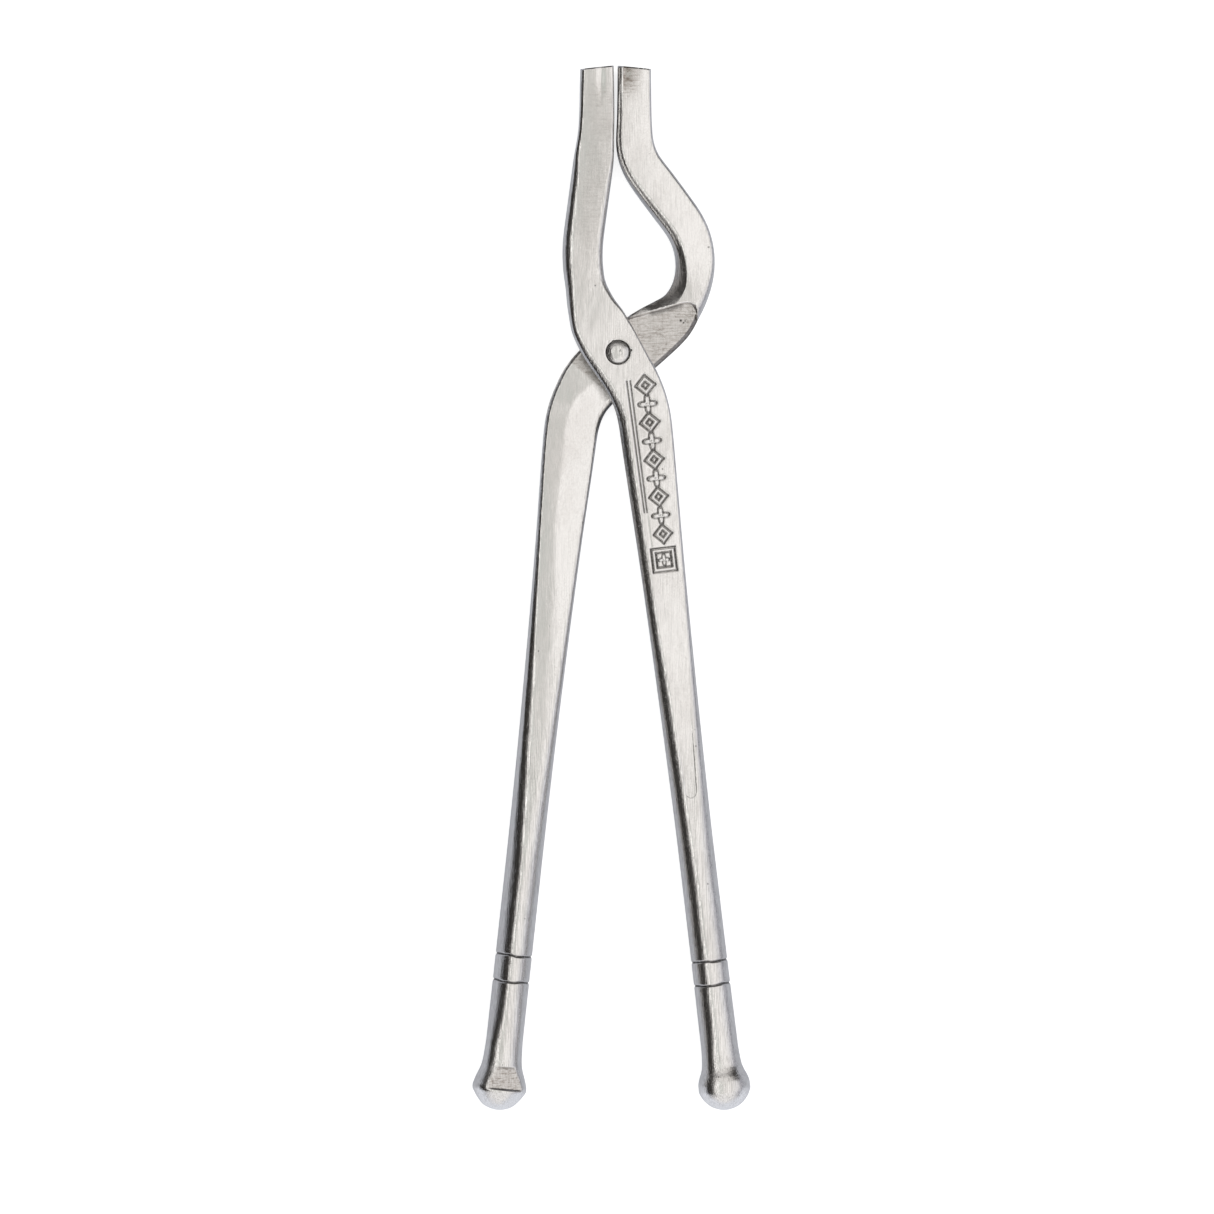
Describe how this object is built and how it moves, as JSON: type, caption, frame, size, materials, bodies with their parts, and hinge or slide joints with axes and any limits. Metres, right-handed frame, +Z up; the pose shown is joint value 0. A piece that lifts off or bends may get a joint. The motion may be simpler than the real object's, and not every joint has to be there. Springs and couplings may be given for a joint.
{
  "type": "nutcracker",
  "caption": "Plier-style nutcracker: forged steel levers that cross at a rivet, straight flat-faced jaws above a pear-shaped cracking gap, and tapered round handles that end in knobs.",
  "frame": {"origin": "on the rivet's axis, at the flat end of its lower head, in the plane the tool lies on", "axes": "+Y from the rivet to the jaw tips, +Z up along the rivet's axis, +X across the tool towards the bulging jaw"},
  "size_m": [0.0586, 0.2195, 0.0114],
  "materials": {
    "polished_steel": "polished bright with fine scratches",
    "rivet_steel": "hammered and polished"
  },
  "bodies": {
    "lower": {"lower_lever": "polished_steel", "rivet": "rivet_steel"},
    "upper": {"upper_lever": "polished_steel"}
  },
  "joints": [
    {"name": "rivet_pivot", "type": "hinge", "parent": "lower", "child": "upper", "pos_m": [0, 0, 0.0057], "axis": [0, 0, 1], "range_deg": [-0.5, 72]}
  ]
}
